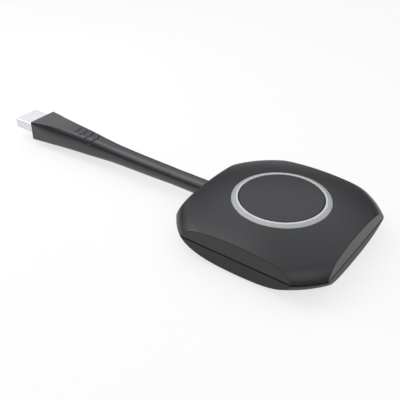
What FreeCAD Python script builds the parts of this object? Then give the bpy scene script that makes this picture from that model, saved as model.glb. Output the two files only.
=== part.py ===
import FreeCAD, Part
import math
import os

# Wireless presentation dongle: a round-cornered puck with one large press button inside a light ring,
# on a short stiff cable that ends in a USB type A plug. Millimetres, +Z up.
# The origin is the middle of the rubber foot, on the surface that the puck stands on. The plug points to -X.

os.makedirs("parts", exist_ok=True)

# Housing form
half_width = 31.1
corner_radius = 38.4
seam_rise = 7.5
crown_rise = 17.4
crown_radius = 112.6
shoulder_radius = 8.5
base_radius = 27.0
upper_lean = math.radians(8.4)
lower_lean = math.radians(9.4)
arc_steps = 4
wall = 1.8

# Seam between the two housing halves: a narrow shadow gap outside, a tongue in a rebate inside
seam_gap = 0.35
tongue_height = 1.6
tongue_thickness = 0.8
tongue_clearance = 0.1

# Rubber foot
foot_radius = 23.0
foot_thickness = 1.0
foot_proud = 0.4
foot_clearance = 0.15
foot_edge_bevel = 0.3

# Light ring round the button, with the light guide under it
ring_outer_radius = 18.35
ring_width = 2.65
ring_drop = 0.15
ring_bevel = 0.35
ring_clearance = 0.08
flange_width = 2.0
flange_thickness = 1.0
seat_drop = 0.3
seat_rim = 0.9
guide_inset = 0.4
guide_gap = 1.2

# Light chamber: a white channel on the board that carries the ring's flange
chamber_wall = 0.9
chamber_floor = 0.8
chamber_clearance = 0.25
chamber_top_room = 0.5
hook_window_room = 0.5

# Button cap
button_travel = 0.6
button_gap = 0.15
button_drop = 0.2
cap_thickness = 1.5
cap_edge_bevel = 0.3
skirt_depth = 3.1
skirt_thickness = 1.2
stem_radius = 2.6
cap_rib_thickness = 1.0
cap_rib_depth = 1.4
hook_count = 3
hook_start = 60.0
hook_width = 5.0
hook_thickness = 1.2
hook_barb_height = 1.0
hook_barb_reach = 0.8
hook_clearance = 0.05
hook_bridge = 1.5

# Push switch under the button
switch_width = 6.2
switch_height = 3.5
switch_cover_thickness = 0.3
switch_skirt_depth = 2.4
plunger_radius = 1.7
plunger_height = 5.0
plunger_flange_radius = 2.2
plunger_flange_thickness = 0.7
plunger_clearance = 0.08
switch_floor = 0.8
leaf_thickness = 0.15
leaf_width = 2.0

# Circuit board and the posts that clamp it
board_rise = 3.8
board_thickness = 1.0
board_edge_gap = 0.6
board_corner_gap = 2.8
post_spacing = 40.0
post_width = 6.4
screw_core_radius = 1.0
screw_length = 9.0
screw_head_radius = 2.0
screw_head_height = 1.4
screw_clearance = 0.25
thread_clearance = 0.04
counterbore_depth = 2.2
pilot_tip_room = 0.4

# Parts on the board
led_count = 8
led_length = 1.6
led_width = 1.2
led_height = 0.6
led_pocket_clearance = 0.3
processor_size = 12.0
processor_height = 1.0
thermal_pad_thickness = 0.8
spreader_width = 22.0
spreader_thickness = 1.0
spreader_corner = 2.0
rail_width = 1.6
rail_inset = 2.0
rail_stop_height = 0.8
rail_clearance = 0.1
memory_length = 10.0
memory_width = 8.0
memory_height = 0.9
crystal_length = 3.2
crystal_width = 2.5
crystal_height = 0.8
shield_length = 16.0
shield_height = 2.4
shield_wall = 0.2
radio_chip_share = 0.7
radio_chip_height = 0.9
antenna_length = 16.0
antenna_height = 3.6
antenna_thickness = 0.3
antenna_leg = 1.2
part_gap = 0.5

# Cable, its anchor in the housing and the leads to the board
arm_drop = 0.4
cable_radius = 3.45
cable_hole_clearance = 0.15
anchor_length = 4.4
anchor_width = 11.5
anchor_height = 8.6
anchor_corner = 1.2
anchor_gap = 0.3
anchor_bore_depth = 3.2
cradle_wall = 1.1
cradle_clearance = 0.15
lead_core_radius = 0.6
lead_pitch = 1.4
lead_count = 4
lead_web = 0.25
lead_length = 3.2
lead_drop = 2.9
lead_window_drop = 1.5
socket_length = 4.8
socket_offset = 1.0
socket_width = 8.0
socket_wall = 0.6
lead_plug_length = 4.1
lead_plug_width = 6.4
lead_plug_height = 1.9
bond_gap = 0.03

# Cutters pass this far beyond the face that they open
cut_room = 1.0

# Plug end: distances from the puck's middle along the cable
shell_tip = 139.4
boot_face = 127.8
boot_round = 80.0
boot_end = 58.0
cable_end = 112.0
boot_half_width = 7.2
boot_top = 3.8
boot_bottom = 4.7
boot_corner = 0.6
boot_round_radius = 4.05
boot_end_radius = 3.7
boot_flat = 0.4
corner_steps = 6
groove_count = 4
groove_first = 104.0
groove_pitch = 4.1
groove_radius = 5.0
groove_first_half_span = 2.3
groove_span_step = 0.75
groove_width = 0.5
groove_depth = 0.3

# Metal plug shell, its tongue and contacts
shell_width = 12.0
shell_height = 4.5
shell_wall = 0.3
shell_corner = 0.6
shell_length = 18.4
window_size = 2.2
window_from_tip = 5.2
window_offset = 2.9
tongue_recess = 0.8
plug_tongue_thickness = 1.85
plug_tongue_gap = 0.1
plug_block_length = 3.2
contact_width = 1.0
contact_thickness = 0.25
contact_proud = 0.08
contact_offsets = (1.0, 3.5)
contact_from_tip = (2.6, 1.6)
mould_wall = 0.5
mould_setback = 1.2
mould_straight = 7.6
mould_end_half_width = 4.0
mould_end_half_height = 2.5

# Heights and places worked out from the sizes above
base_z = foot_proud
seam_z = base_z + seam_rise
crown_centre_z = base_z + crown_rise - crown_radius
floor_z = base_z + wall
board_z = floor_z + board_rise
board_top = board_z + board_thickness
arm_z = seam_z - arm_drop
ring_inner_radius = ring_outer_radius - ring_width
button_radius = ring_inner_radius - button_gap
flange_radius = ring_outer_radius + flange_width
post_reach = post_spacing / 2
far = 2 * corner_radius


def vec(x, y, z):
    return FreeCAD.Vector(x, y, z)


def box(x_low, x_high, y_low, y_high, z_low, z_high):
    return Part.makeBox(x_high - x_low, y_high - y_low, z_high - z_low, vec(x_low, y_low, z_low))


def disc(radius, z_low, z_high, x=0.0, y=0.0):
    return Part.makeCylinder(radius, z_high - z_low, vec(x, y, z_low))


def ring(outer, inner, z_low, z_high):
    return disc(outer, z_low, z_high).cut(disc(inner, z_low - cut_room, z_high + cut_room))


def rod(radius, x_low, x_high, y, z):
    return Part.makeCylinder(radius, x_high - x_low, vec(x_low, y, z), vec(1, 0, 0))


def turn(profile):
    """Turned solid from a closed profile of (radius, height) pairs."""
    points = [vec(radius, 0, z) for radius, z in profile + profile[:1]]
    return Part.Face(Part.makePolygon(points)).revolve(vec(0, 0, 0), vec(0, 0, 1), 360)


def save(name, shape):
    shape.exportStep(f"parts/{name}.step")


def edges_along(block, axis):
    return [edge for edge in block.Edges if abs(edge.tangentAt(edge.FirstParameter).dot(axis)) > 0.99]


def post(x, y, z_low, z_high):
    half = post_width / 2
    return box(x - half, x + half, y - half, y + half, z_low, z_high)


def corners():
    reach = post_reach
    return [(x, y) for x in (-reach, reach) for y in (-reach, reach)]


def slab(z_low, z_high):
    return box(-far, far, -far, far, z_low, z_high)


def cone_steps(centre_x, centre_z, radius, low, high):
    """Points on an arc: turned, they give cones that stay within 0.15 mm of its curve."""
    angles = [low + (high - low) * index / arc_steps for index in range(arc_steps + 1)]
    return [(centre_x + radius * math.cos(angle), centre_z + radius * math.sin(angle)) for angle in angles]


# Outer form: a turned lens, cut on four sides by facets that lean in above and below the seam


def crown_z(radius, drop=0.0):
    """Height of the crown's sphere, lowered square to itself by drop."""
    return crown_centre_z + math.sqrt((crown_radius - drop) ** 2 - radius**2)


def crown_ball(drop):
    """The crown's sphere, its poles at the sides, where no face of the part reaches them."""
    ball = Part.makeSphere(crown_radius - drop)
    ball.rotate(vec(0, 0, 0), vec(1, 0, 0), 90)
    ball.translate(vec(0, 0, crown_centre_z))
    return ball


def shoulder_centre():
    """Centre of the shoulder arc: it ends on the seam's edge and runs smoothly into the crown."""
    edge_x, edge_z = corner_radius, seam_z - crown_centre_z
    reach = math.hypot(edge_x, edge_z)
    to_crown = crown_radius - shoulder_radius
    turn = math.acos((reach**2 + to_crown**2 - shoulder_radius**2) / (2 * reach * to_crown))
    angle = math.atan2(edge_z, edge_x) + turn
    return to_crown * math.cos(angle), crown_centre_z + to_crown * math.sin(angle)


def facet_block(lean, inset, up):
    """Block between the four facets on one side of the seam, inset square to them."""
    half = half_width - inset / math.cos(lean)
    height = 2 * crown_rise
    tip = half - height * math.tan(lean)
    end_z = seam_z + height if up else seam_z - height
    outline = [vec(-half, 0, seam_z), vec(half, 0, seam_z), vec(tip, 0, end_z), vec(-tip, 0, end_z)]
    face = Part.Face(Part.makePolygon(outline + outline[:1]))
    face.translate(vec(0, -far, 0))
    slab = face.extrude(vec(0, 2 * far, 0))
    turned = slab.copy()
    turned.rotate(vec(0, 0, 0), vec(0, 0, 1), 90)
    return slab.common(turned)


def crown_form(inset):
    """The form above the seam, with every face moved in by inset."""
    centre_x, centre_z = shoulder_centre()
    radius = shoulder_radius - inset
    low = math.asin((seam_z - centre_z) / radius)
    high = math.atan2(centre_z - crown_centre_z, centre_x)
    steps = cone_steps(centre_x, centre_z, radius, low, high)
    shoulder_top = steps[-1][1]
    turned = turn([(0, seam_z)] + steps + [(0, shoulder_top)])
    cap = slab(shoulder_top, far).common(crown_ball(inset))
    return turned.fuse(cap).common(facet_block(upper_lean, inset, True))


def base_form(inset):
    """The form below the seam: a flat base that rises to the seam in one sweep."""
    reach = corner_radius - base_radius
    radius = (reach**2 + seam_rise**2) / (2 * seam_rise)
    centre_z = base_z + radius
    radius = radius - inset
    high = math.asin((seam_z - centre_z) / radius)
    steps = cone_steps(base_radius, centre_z, radius, -math.pi / 2, high)
    turned = turn([(0, base_z + inset)] + steps + [(0, seam_z)])
    return turned.common(facet_block(lower_lean, inset, False))


# Cable anchor place: just inside the wall that the cable comes through


def facet_inner_x(z):
    """Distance from the middle to the inside of a side wall at one height."""
    lean = upper_lean if z > seam_z else lower_lean
    return half_width - wall / math.cos(lean) - abs(z - seam_z) * math.tan(lean)


wall_above = facet_inner_x(arm_z + anchor_height / 2)
wall_below = facet_inner_x(arm_z - anchor_height / 2)
anchor_front = anchor_gap - min(wall_above, wall_below)
anchor_rear = anchor_front + anchor_length
cradle_rear = anchor_rear + cradle_clearance + cradle_wall
lead_plug_rear = anchor_rear + lead_length
socket_x = lead_plug_rear + socket_offset
socket_rear = socket_x + socket_length
memory_x = processor_size / 2 + part_gap
spreader_low = socket_rear + part_gap + rail_width + rail_clearance
spreader_high = memory_x + memory_width + part_gap
board_half = facet_inner_x(board_z) - board_edge_gap
lead_z = arm_z - lead_drop


def anchor_block(grow):
    block = box(
        anchor_front - grow,
        anchor_rear + grow,
        -anchor_width / 2 - grow,
        anchor_width / 2 + grow,
        arm_z - anchor_height / 2 - grow,
        arm_z + anchor_height / 2 + grow,
    )
    return block.makeChamfer(anchor_corner, edges_along(block, vec(1, 0, 0)))


def cradle(z_low, z_high):
    """Pocket walls that hold the anchor, open at the back for the leads."""
    half = anchor_width / 2 + cradle_clearance + cradle_wall
    walls = box(-half_width, cradle_rear, -half, half, z_low, z_high)
    lead_half = lead_count * lead_pitch / 2 + part_gap
    window_low = lead_z - lead_window_drop
    window_high = arm_z + cable_radius
    window_front, window_rear = anchor_rear - cut_room, cradle_rear + cut_room
    window = box(window_front, window_rear, -lead_half, lead_half, window_low, window_high)
    return walls.cut(anchor_block(cradle_clearance)).cut(window)


cable_hole = rod(cable_radius + cable_hole_clearance, -half_width - wall, anchor_front, 0, arm_z)


# Upper housing half
# A thin moulded shell with the ring's seat, four screw posts and the upper half of the cable's pocket

seat_z = crown_z(flange_radius, wall) - seat_drop
seat_radius = flange_radius + seat_rim
tongue_top = seam_z + tongue_height
rebate_inset = wall - tongue_thickness

rim = slab(seam_z + seam_gap / 2, far)
top_shell = crown_form(0).common(rim).cut(crown_form(wall))
top_shell = top_shell.cut(crown_form(rebate_inset).common(slab(seam_z, tongue_top)))
inner_limit = crown_form(wall / 2)
seat = disc(seat_radius, seat_z, crown_z(0)).common(inner_limit)
posts = [post(x, y, board_top, crown_z(0)).common(inner_limit) for x, y in corners()]
tongue_path = slab(seam_z, tongue_top + tongue_clearance).cut(crown_form(wall + tongue_clearance))
upper_cradle = cradle(arm_z + bond_gap, crown_z(0)).common(inner_limit).cut(tongue_path)
upper_cradle = upper_cradle.common(slab(seam_z, far))
top_shell = top_shell.fuse([seat, upper_cradle] + posts)
top_shell = top_shell.cut(disc(ring_outer_radius + ring_clearance, seam_z, far)).cut(cable_hole)
screw_tip_z = base_z + counterbore_depth + screw_length
pilot_end_z = screw_tip_z + pilot_tip_room
for x, y in corners():
    pilot = disc(screw_core_radius + thread_clearance, board_top - cut_room, pilot_end_z, x, y)
    top_shell = top_shell.cut(pilot)
save("top_shell", top_shell.removeSplitter())

# Lower housing half
# Its floor takes the foot in a shallow recess and carries posts, a tongue and two rails for the spreader

bottom_shell = base_form(0).common(slab(-cut_room, seam_z - seam_gap / 2))
bottom_shell = bottom_shell.cut(base_form(wall))
tongue_outer = crown_form(rebate_inset + tongue_clearance)
tongue = tongue_outer.cut(crown_form(wall)).common(slab(seam_z, tongue_top))
tongue_root = base_form(rebate_inset + tongue_clearance).cut(base_form(wall))
tongue_root = tongue_root.common(slab(seam_z - seam_gap, seam_z))
lower_limit = base_form(wall / 2)
lower_posts = [post(x, y, base_z, board_z).common(lower_limit) for x, y in corners()]
lower_cradle = cradle(base_z, arm_z - bond_gap).common(lower_limit)
spreader_z = board_z - processor_height - thermal_pad_thickness - spreader_thickness
rails = []
for side, end_x in ((-1, spreader_low), (1, spreader_high)):
    rail_x = end_x - side * rail_inset
    stop_x = end_x + side * (rail_width / 2 + rail_clearance)
    half = spreader_width / 2
    half_rail = rail_width / 2
    rails.append(box(rail_x - half_rail, rail_x + half_rail, -half, half, floor_z - half_rail, spreader_z))
    stop_z = spreader_z + rail_stop_height
    stop = box(stop_x - half_rail, stop_x + half_rail, -half / 2, half / 2, floor_z - half_rail, stop_z)
    rails.append(stop)
bottom_shell = bottom_shell.fuse([tongue, tongue_root, lower_cradle] + lower_posts + rails)
for x, y in corners():
    shank_room = disc(screw_core_radius + screw_clearance, base_z, board_z + cut_room, x, y)
    head_radius = screw_head_radius + screw_clearance
    head_room = disc(head_radius, base_z - cut_room, base_z + counterbore_depth, x, y)
    bottom_shell = bottom_shell.cut(shank_room).cut(head_room)
foot_recess = disc(foot_radius + foot_clearance, base_z - cut_room, foot_thickness)
bottom_shell = bottom_shell.cut(foot_recess).cut(cable_hole)
save("bottom_shell", bottom_shell.removeSplitter())

# Rubber foot under the base
foot_profile = [
    (0, 0),
    (foot_radius - foot_edge_bevel, 0),
    (foot_radius, foot_edge_bevel),
    (foot_radius, foot_thickness),
    (0, foot_thickness),
]
save("rubber_foot", turn(foot_profile))

# Four screws from below: through the lower posts and the board into the upper posts
screws = []
for x, y in corners():
    head_z = base_z + counterbore_depth
    head = disc(screw_head_radius, head_z - screw_head_height, head_z, x, y)
    shank = disc(screw_core_radius, head_z, screw_tip_z, x, y)
    screws.append(head.fuse(shank).removeSplitter())
save("case_screws", Part.makeCompound(screws))

# Light ring: a milky moulding, its top face follows the crown, its skirt guides the light up from the board
ring_top_out = crown_z(ring_outer_radius, ring_drop)
ring_top_in = crown_z(ring_inner_radius + ring_bevel, ring_drop)
guide_radius = ring_inner_radius + guide_inset
guide_bottom = board_top + chamber_floor + guide_gap
guide_step_z = seat_z - flange_thickness
ring_profile = [
    (ring_inner_radius, guide_step_z),
    (ring_inner_radius, ring_top_in - ring_bevel),
    (ring_inner_radius + ring_bevel, ring_top_in),
    (ring_outer_radius, ring_top_out),
    (ring_outer_radius, seat_z),
    (flange_radius, seat_z),
    (flange_radius, guide_step_z),
    (ring_outer_radius, guide_step_z),
    (ring_outer_radius, guide_bottom),
    (guide_radius, guide_bottom),
    (guide_radius, guide_step_z),
]
save("light_ring", turn(ring_profile))

# Button cap: a domed disc with a skirt, ribs, a stem over the switch and three snap hooks
cap_edge_z = crown_z(button_radius, button_drop)
skirt_bottom = cap_edge_z - skirt_depth
chamber_inner_out = guide_radius - chamber_clearance
chamber_inner_in = chamber_inner_out - chamber_wall
chamber_top = skirt_bottom - button_travel - chamber_top_room
window_top = chamber_top - hook_bridge
barb_top = window_top - hook_clearance
hook_end = barb_top - hook_barb_height
window_bottom = hook_end - button_travel - chamber_clearance
hook_outer = chamber_inner_in - chamber_clearance
hook_inner = hook_outer - hook_thickness
plunger_top = board_top + plunger_height
stem_bottom = plunger_top + hook_clearance

cap_inner = button_radius - skirt_thickness
bevel_x = button_radius - cap_edge_bevel
bevel_z = crown_z(bevel_x, button_drop)
cap_under_z = bevel_z - cap_thickness
cap_core_z = bevel_z - cap_thickness / 2
cap_profile = [
    (0, skirt_bottom),
    (button_radius, skirt_bottom),
    (button_radius, bevel_z - cap_edge_bevel),
    (button_radius - cap_thickness, bevel_z - cap_edge_bevel + cap_thickness),
    (0, bevel_z - cap_edge_bevel + cap_thickness),
]
cap = turn(cap_profile).common(crown_ball(button_drop))
cap = cap.cut(disc(cap_inner, skirt_bottom - cut_room, cap_under_z))
stem = disc(stem_radius, stem_bottom, cap_core_z)
rib_low = cap_under_z - cap_rib_depth
rib_half = button_radius - skirt_thickness / 2
ribs = box(-rib_half, rib_half, -cap_rib_thickness / 2, cap_rib_thickness / 2, rib_low, cap_core_z)
cross_rib = ribs.copy()
cross_rib.rotate(vec(0, 0, 0), vec(0, 0, 1), 90)


def hook_sector(inner, outer, width, z_low, z_high):
    """Piece of a ring, one hook wide, on the +X side."""
    return ring(outer, inner, z_low, z_high).common(box(0, far, -width / 2, width / 2, z_low, z_high))


def around(shape, count, start=0.0):
    copies = []
    for index in range(count):
        turned = shape.copy()
        turned.rotate(vec(0, 0, 0), vec(0, 0, 1), start + 360 * index / count)
        copies.append(turned)
    return copies


hook_root = skirt_bottom + skirt_depth / 2
hook_arm = hook_sector(hook_inner, hook_outer, hook_width, hook_end, hook_root)
hook_foot = hook_sector(hook_inner, cap_inner + skirt_thickness / 2, hook_width, skirt_bottom, hook_root)
barb = hook_sector(hook_inner, hook_outer + hook_barb_reach, hook_width, hook_end, barb_top)
hook = hook_arm.fuse([barb, hook_foot])
cap = cap.fuse([stem, ribs, cross_rib] + around(hook, hook_count, hook_start))
save("button_cap", cap.removeSplitter())

# Light chamber: a white channel on the board, with a pocket for each lamp and windows for the hooks
chamber_outer_in = ring_outer_radius + chamber_clearance
led_radius = (guide_radius + ring_outer_radius) / 2
channel = ring(flange_radius, chamber_inner_in, board_top, guide_step_z)
channel = channel.cut(ring(chamber_outer_in, chamber_inner_out, board_top + chamber_floor, far))
channel = channel.cut(disc(chamber_inner_out, chamber_top, far))
window_half = hook_width / 2 + hook_window_room
window_cut = box(0, led_radius, -window_half, window_half, window_bottom, window_top)
lamp_start = 180.0 / led_count
pocket_length = led_length / 2 + led_pocket_clearance
pocket_width = led_width / 2 + led_pocket_clearance
pocket = box(
    led_radius - pocket_width,
    led_radius + pocket_width,
    -pocket_length,
    pocket_length,
    board_top - cut_room,
    board_top + chamber_floor + cut_room,
)
for cutter in around(window_cut, hook_count, hook_start) + around(pocket, led_count, lamp_start):
    channel = channel.cut(cutter)
save("light_chamber", channel.removeSplitter())

# White lamps in a circle under the light guide
led = box(
    led_radius - led_width / 2,
    led_radius + led_width / 2,
    -led_length / 2,
    led_length / 2,
    board_top,
    board_top + led_height,
)
save("ring_lamps", Part.makeCompound(around(led, led_count, lamp_start)))

# Push switch: body, metal cover, plunger and the bent leaf that snaps under it
switch_half = switch_width / 2
switch_top = board_top + switch_height
body = box(-switch_half, switch_half, -switch_half, switch_half, board_top, switch_top)
well_radius = plunger_flange_radius + plunger_clearance
body = body.cut(disc(well_radius, board_top + switch_floor, far))
save("switch_body", body)

cover_half = switch_half + switch_cover_thickness
cover_top = switch_top + switch_cover_thickness
cover = box(-switch_half, switch_half, -cover_half, cover_half, switch_top, cover_top)
cover = cover.cut(disc(plunger_radius + plunger_clearance, switch_top - cut_room, far))
for side in (-1, 1):
    y_near = side * switch_half
    y_far = side * cover_half
    leg = box(
        -switch_half / 2,
        switch_half / 2,
        min(y_near, y_far),
        max(y_near, y_far),
        switch_top - switch_skirt_depth,
        switch_top,
    )
    cover = cover.fuse(leg)
save("switch_cover", cover.removeSplitter())

flange_top = switch_top - plunger_clearance
flange_bottom = flange_top - plunger_flange_thickness
plunger = disc(plunger_radius, flange_bottom, plunger_top)
plunger = plunger.fuse(disc(plunger_flange_radius, flange_bottom, flange_top))
save("switch_plunger", plunger.removeSplitter())

leaf_low = board_top + switch_floor
leaf_high = flange_bottom - plunger_clearance
leaf_crown = plunger_radius / 2
leaf_foot = plunger_flange_radius - leaf_thickness
leaf_outline = [
    vec(-leaf_foot, 0, leaf_low),
    vec(-leaf_crown, 0, leaf_high),
    vec(leaf_crown, 0, leaf_high),
    vec(leaf_foot, 0, leaf_low),
    vec(leaf_foot - 2 * leaf_thickness, 0, leaf_low),
    vec(leaf_crown - leaf_thickness / 2, 0, leaf_high - leaf_thickness),
    vec(-leaf_crown + leaf_thickness / 2, 0, leaf_high - leaf_thickness),
    vec(-leaf_foot + 2 * leaf_thickness, 0, leaf_low),
]
leaf = Part.Face(Part.makePolygon(leaf_outline + leaf_outline[:1])).extrude(vec(0, leaf_width, 0))
leaf.translate(vec(0, -leaf_width / 2, 0))
save("switch_spring", leaf)

# Circuit board: follows the housing's inside, notched for the cable's pocket
board_radius = corner_radius - wall - board_corner_gap
board = box(-board_half, board_half, -board_half, board_half, board_z, board_top)
board = board.common(disc(board_radius, board_z, board_top))
notch_half = anchor_width / 2 + cradle_clearance + cradle_wall + part_gap
board_cut_low, board_cut_high = board_z - cut_room, board_top + cut_room
board = board.cut(box(-far, cradle_rear + part_gap, -notch_half, notch_half, board_cut_low, board_cut_high))
for x, y in corners():
    board = board.cut(disc(screw_core_radius + screw_clearance, board_cut_low, board_cut_high, x, y))
save("main_board", board)

# Processor under the board, with a soft pad that carries its heat to an aluminium plate
half = processor_size / 2
processor_z = board_z - processor_height
save("processor_chip", box(-half, half, -half, half, processor_z, board_z))
pad_z = processor_z - thermal_pad_thickness
save("thermal_pad", box(-half, half, -half, half, pad_z, processor_z))

spreader = box(
    spreader_low,
    spreader_high,
    -spreader_width / 2,
    spreader_width / 2,
    spreader_z,
    pad_z,
)
save("heat_spreader", spreader.makeChamfer(spreader_corner, edges_along(spreader, vec(0, 0, 1))))

# Memory chips and the clock crystal, also under the board
memories = []
for side in (-1, 1):
    y_low = side * (memory_length / 2 + part_gap) - memory_length / 2
    memories.append(
        box(memory_x, memory_x + memory_width, y_low, y_low + memory_length, board_z - memory_height, board_z)
    )
save("memory_chips", Part.makeCompound(memories))
crystal_y = processor_size / 2 + part_gap
half = crystal_length / 2
crystal = box(-half, half, crystal_y, crystal_y + crystal_width, board_z - crystal_height, board_z)
save("clock_crystal", crystal)

# Radio chip under its shield can, at the end away from the cable
shield_x = flange_radius + part_gap
shield_end = board_half - part_gap
half = shield_length / 2
shield = box(shield_x, shield_end, -half, half, board_top, board_top + shield_height)
hollow_can = box(
    shield_x + shield_wall,
    shield_end - shield_wall,
    -half + shield_wall,
    half - shield_wall,
    board_top - cut_room,
    board_top + shield_height - shield_wall,
)
save("shield_can", shield.cut(hollow_can))
half = radio_chip_share * (shield_end - shield_x - 2 * shield_wall) / 2
chip_x = (shield_x + shield_end) / 2
save("radio_chip", box(chip_x - half, chip_x + half, -half, half, board_top, board_top + radio_chip_height))

# Two folded sheet antennas, one at each side of the board
antenna_y = board_half - part_gap - antenna_leg - antenna_thickness
blade = box(
    -antenna_length / 2,
    antenna_length / 2,
    antenna_y,
    antenna_y + antenna_thickness,
    board_top + antenna_height - antenna_leg,
    board_top + antenna_height,
)
antenna_top = board_top + antenna_height
for x in (-antenna_length / 2, -antenna_length / 2 + 2 * antenna_leg):
    leg = box(x, x + antenna_leg, antenna_y, antenna_y + antenna_thickness, board_top, antenna_top)
    blade = blade.fuse(leg)
blade = blade.removeSplitter()
mirrored = blade.copy()
mirrored.rotate(vec(0, 0, 0), vec(0, 0, 1), 180)
save("antennas", Part.makeCompound([blade, mirrored]))

# Cable anchor: a block moulded onto the cable's inner end, held between the housing halves
anchor = anchor_block(0)
bore_end = anchor_front + anchor_bore_depth
anchor = anchor.cut(rod(cable_radius + bond_gap, anchor_front - cut_room, bore_end, 0, arm_z))
save("cable_anchor", anchor)

# Leads: a flat ribbon of four cores, with its plug and the socket under the board
ribbon_half = lead_count * lead_pitch / 2
upper = []
for index in range(lead_count):
    y_low = -ribbon_half + index * lead_pitch
    for share, z in ((0, lead_web / 2), (0.25, lead_core_radius), (0.75, lead_core_radius)):
        upper.append(vec(anchor_rear, y_low + share * lead_pitch, lead_z + z))
upper.append(vec(anchor_rear, ribbon_half, lead_z + lead_web / 2))
lower = [vec(point.x, -point.y, 2 * lead_z - point.z) for point in upper]
ribbon = Part.Face(Part.makePolygon(upper + lower + upper[:1])).extrude(vec(lead_length, 0, 0))
save("inner_leads", ribbon)
lead_plug = box(
    lead_plug_rear,
    lead_plug_rear + lead_plug_length,
    -lead_plug_width / 2,
    lead_plug_width / 2,
    lead_z - lead_plug_height / 2,
    lead_z + lead_plug_height / 2,
)
save("lead_plug", lead_plug)
socket = box(
    socket_x,
    socket_rear,
    -socket_width / 2,
    socket_width / 2,
    lead_z - lead_plug_height / 2 - socket_wall,
    board_z,
)
plug_room = box(
    socket_x - cut_room,
    lead_plug_rear + lead_plug_length + bond_gap,
    -lead_plug_width / 2 - bond_gap,
    lead_plug_width / 2 + bond_gap,
    lead_z - lead_plug_height / 2 - bond_gap,
    lead_z + lead_plug_height / 2 + bond_gap,
)
save("board_socket", socket.cut(plug_room))

# Cable: one straight run from the anchor to the plug's inner mould, as the photo shows it
cable = rod(cable_radius, -cable_end, bore_end - bond_gap, 0, arm_z)
cable_run = cable_end + bore_end - bond_gap
print("cable route: one straight run, no bends, length", round(cable_run, 2))
cable_volume = math.pi * cable_radius**2 * cable_run
print("cable volume against section times length", round(cable.Volume / cable_volume, 5))
save("cable", cable)

# Plug boot: a soft moulding that runs from a rounded rectangle at the plug to the cable's round


def corner_arc(centre_y, centre_z, radius, start):
    """Points of one corner's quarter turn, counted anticlockwise from start, in degrees."""
    angles = [math.radians(start + 90 * index / corner_steps) for index in range(corner_steps + 1)]
    return [(centre_y + radius * math.cos(angle), centre_z + radius * math.sin(angle)) for angle in angles]


def section(x, half_wide, top, bottom, corner):
    """Rounded rectangle across the arm, nearly a circle where its sides are short."""
    wide, high, low = half_wide - corner, top - corner, corner - bottom
    outline = corner_arc(wide, high, corner, 0) + corner_arc(-wide, high, corner, 90)
    outline += corner_arc(-wide, low, corner, 180) + corner_arc(wide, low, corner, 270)
    return Part.makePolygon([vec(x, y, arm_z + z) for y, z in outline + outline[:1]])


def boot_form(inset):
    top, bottom = boot_top - inset, boot_bottom - inset
    sections = [section(-boot_face, boot_half_width - inset, top, bottom, boot_corner)]
    for x, radius in ((-boot_round, boot_round_radius), (-boot_end, boot_end_radius)):
        radius = radius - inset
        sections.append(section(x, radius, radius, radius, radius - boot_flat))
    return Part.makeLoft(sections, True, True)


def mould_form(grow):
    """Hard inner mould behind the metal shell: a planed block that tapers to the cable's end."""
    wide, high = shell_width / 2 + mould_wall + grow, shell_height / 2 + mould_wall + grow
    end_wide, end_high = mould_end_half_width + grow, mould_end_half_height + grow
    front, taper = -boot_face + mould_setback - grow, -boot_face + mould_setback + mould_straight
    sections = [planed_section(front, wide, high), planed_section(taper, wide, high)]
    return Part.makeLoft(sections + [planed_section(-cable_end, end_wide, end_high)], True, True)


def planed_section(x, wide, high):
    """Rectangle across the arm with its corners cut off."""
    cut = mould_wall
    quarter = [(wide - cut, high), (wide, high - cut)]
    half = quarter + [(wide, -high + cut), (wide - cut, -high)]
    whole = half + [(-y, -z) for y, z in half]
    return Part.makePolygon([vec(x, y, arm_z + z) for y, z in whole + whole[:1]])


def shell_block(grow, x_low, x_high):
    """The metal shell's outside, or its inside where grow is minus the wall."""
    wide, high = shell_width / 2 + grow, shell_height / 2 + grow
    block = box(x_low, x_high, -wide, wide, arm_z - high, arm_z + high)
    return block.makeFillet(shell_corner + grow, edges_along(block, vec(1, 0, 0)))


shell_rear = -shell_tip + shell_length
boot = boot_form(0)
boot = boot.cut(mould_form(bond_gap))
boot = boot.cut(shell_block(bond_gap, -boot_face - cut_room, -boot_face + mould_setback + cut_room))
boot = boot.cut(rod(cable_radius + bond_gap, -cable_end, -boot_end + cut_room, 0, arm_z))
skin = boot_form(groove_depth)
for index in range(groove_count):
    apex_x = -groove_first + index * groove_pitch
    centre_x = apex_x - groove_radius
    half_span = groove_first_half_span + index * groove_span_step
    half_angle = math.degrees(math.asin(half_span / groove_radius))
    outer = Part.makeCylinder(
        groove_radius + groove_width / 2, far, vec(centre_x, 0, arm_z), vec(0, 0, 1), 2 * half_angle
    )
    inner = Part.makeCylinder(groove_radius - groove_width / 2, far, vec(centre_x, 0, arm_z))
    outer.rotate(vec(centre_x, 0, 0), vec(0, 0, 1), -half_angle)
    boot = boot.cut(outer.cut(inner).cut(skin))
save("plug_boot", boot)

# Hard inner mould between the metal shell and the cable
mould = mould_form(0).cut(shell_block(bond_gap, -boot_face, shell_rear + bond_gap))
save("plug_inner_mould", mould)

# Metal shell: a folded tube, with two latch windows on its underside
shell = shell_block(0, -shell_tip, shell_rear)
shell = shell.cut(shell_block(-shell_wall, -shell_tip - cut_room, shell_rear + cut_room))
for side in (-1, 1):
    window_x = -shell_tip + window_from_tip
    window_y = side * window_offset
    shell = shell.cut(
        box(
            window_x,
            window_x + window_size,
            window_y - window_size / 2,
            window_y + window_size / 2,
            arm_z - shell_height,
            arm_z,
        )
    )
save("usb_shell", shell)

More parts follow.
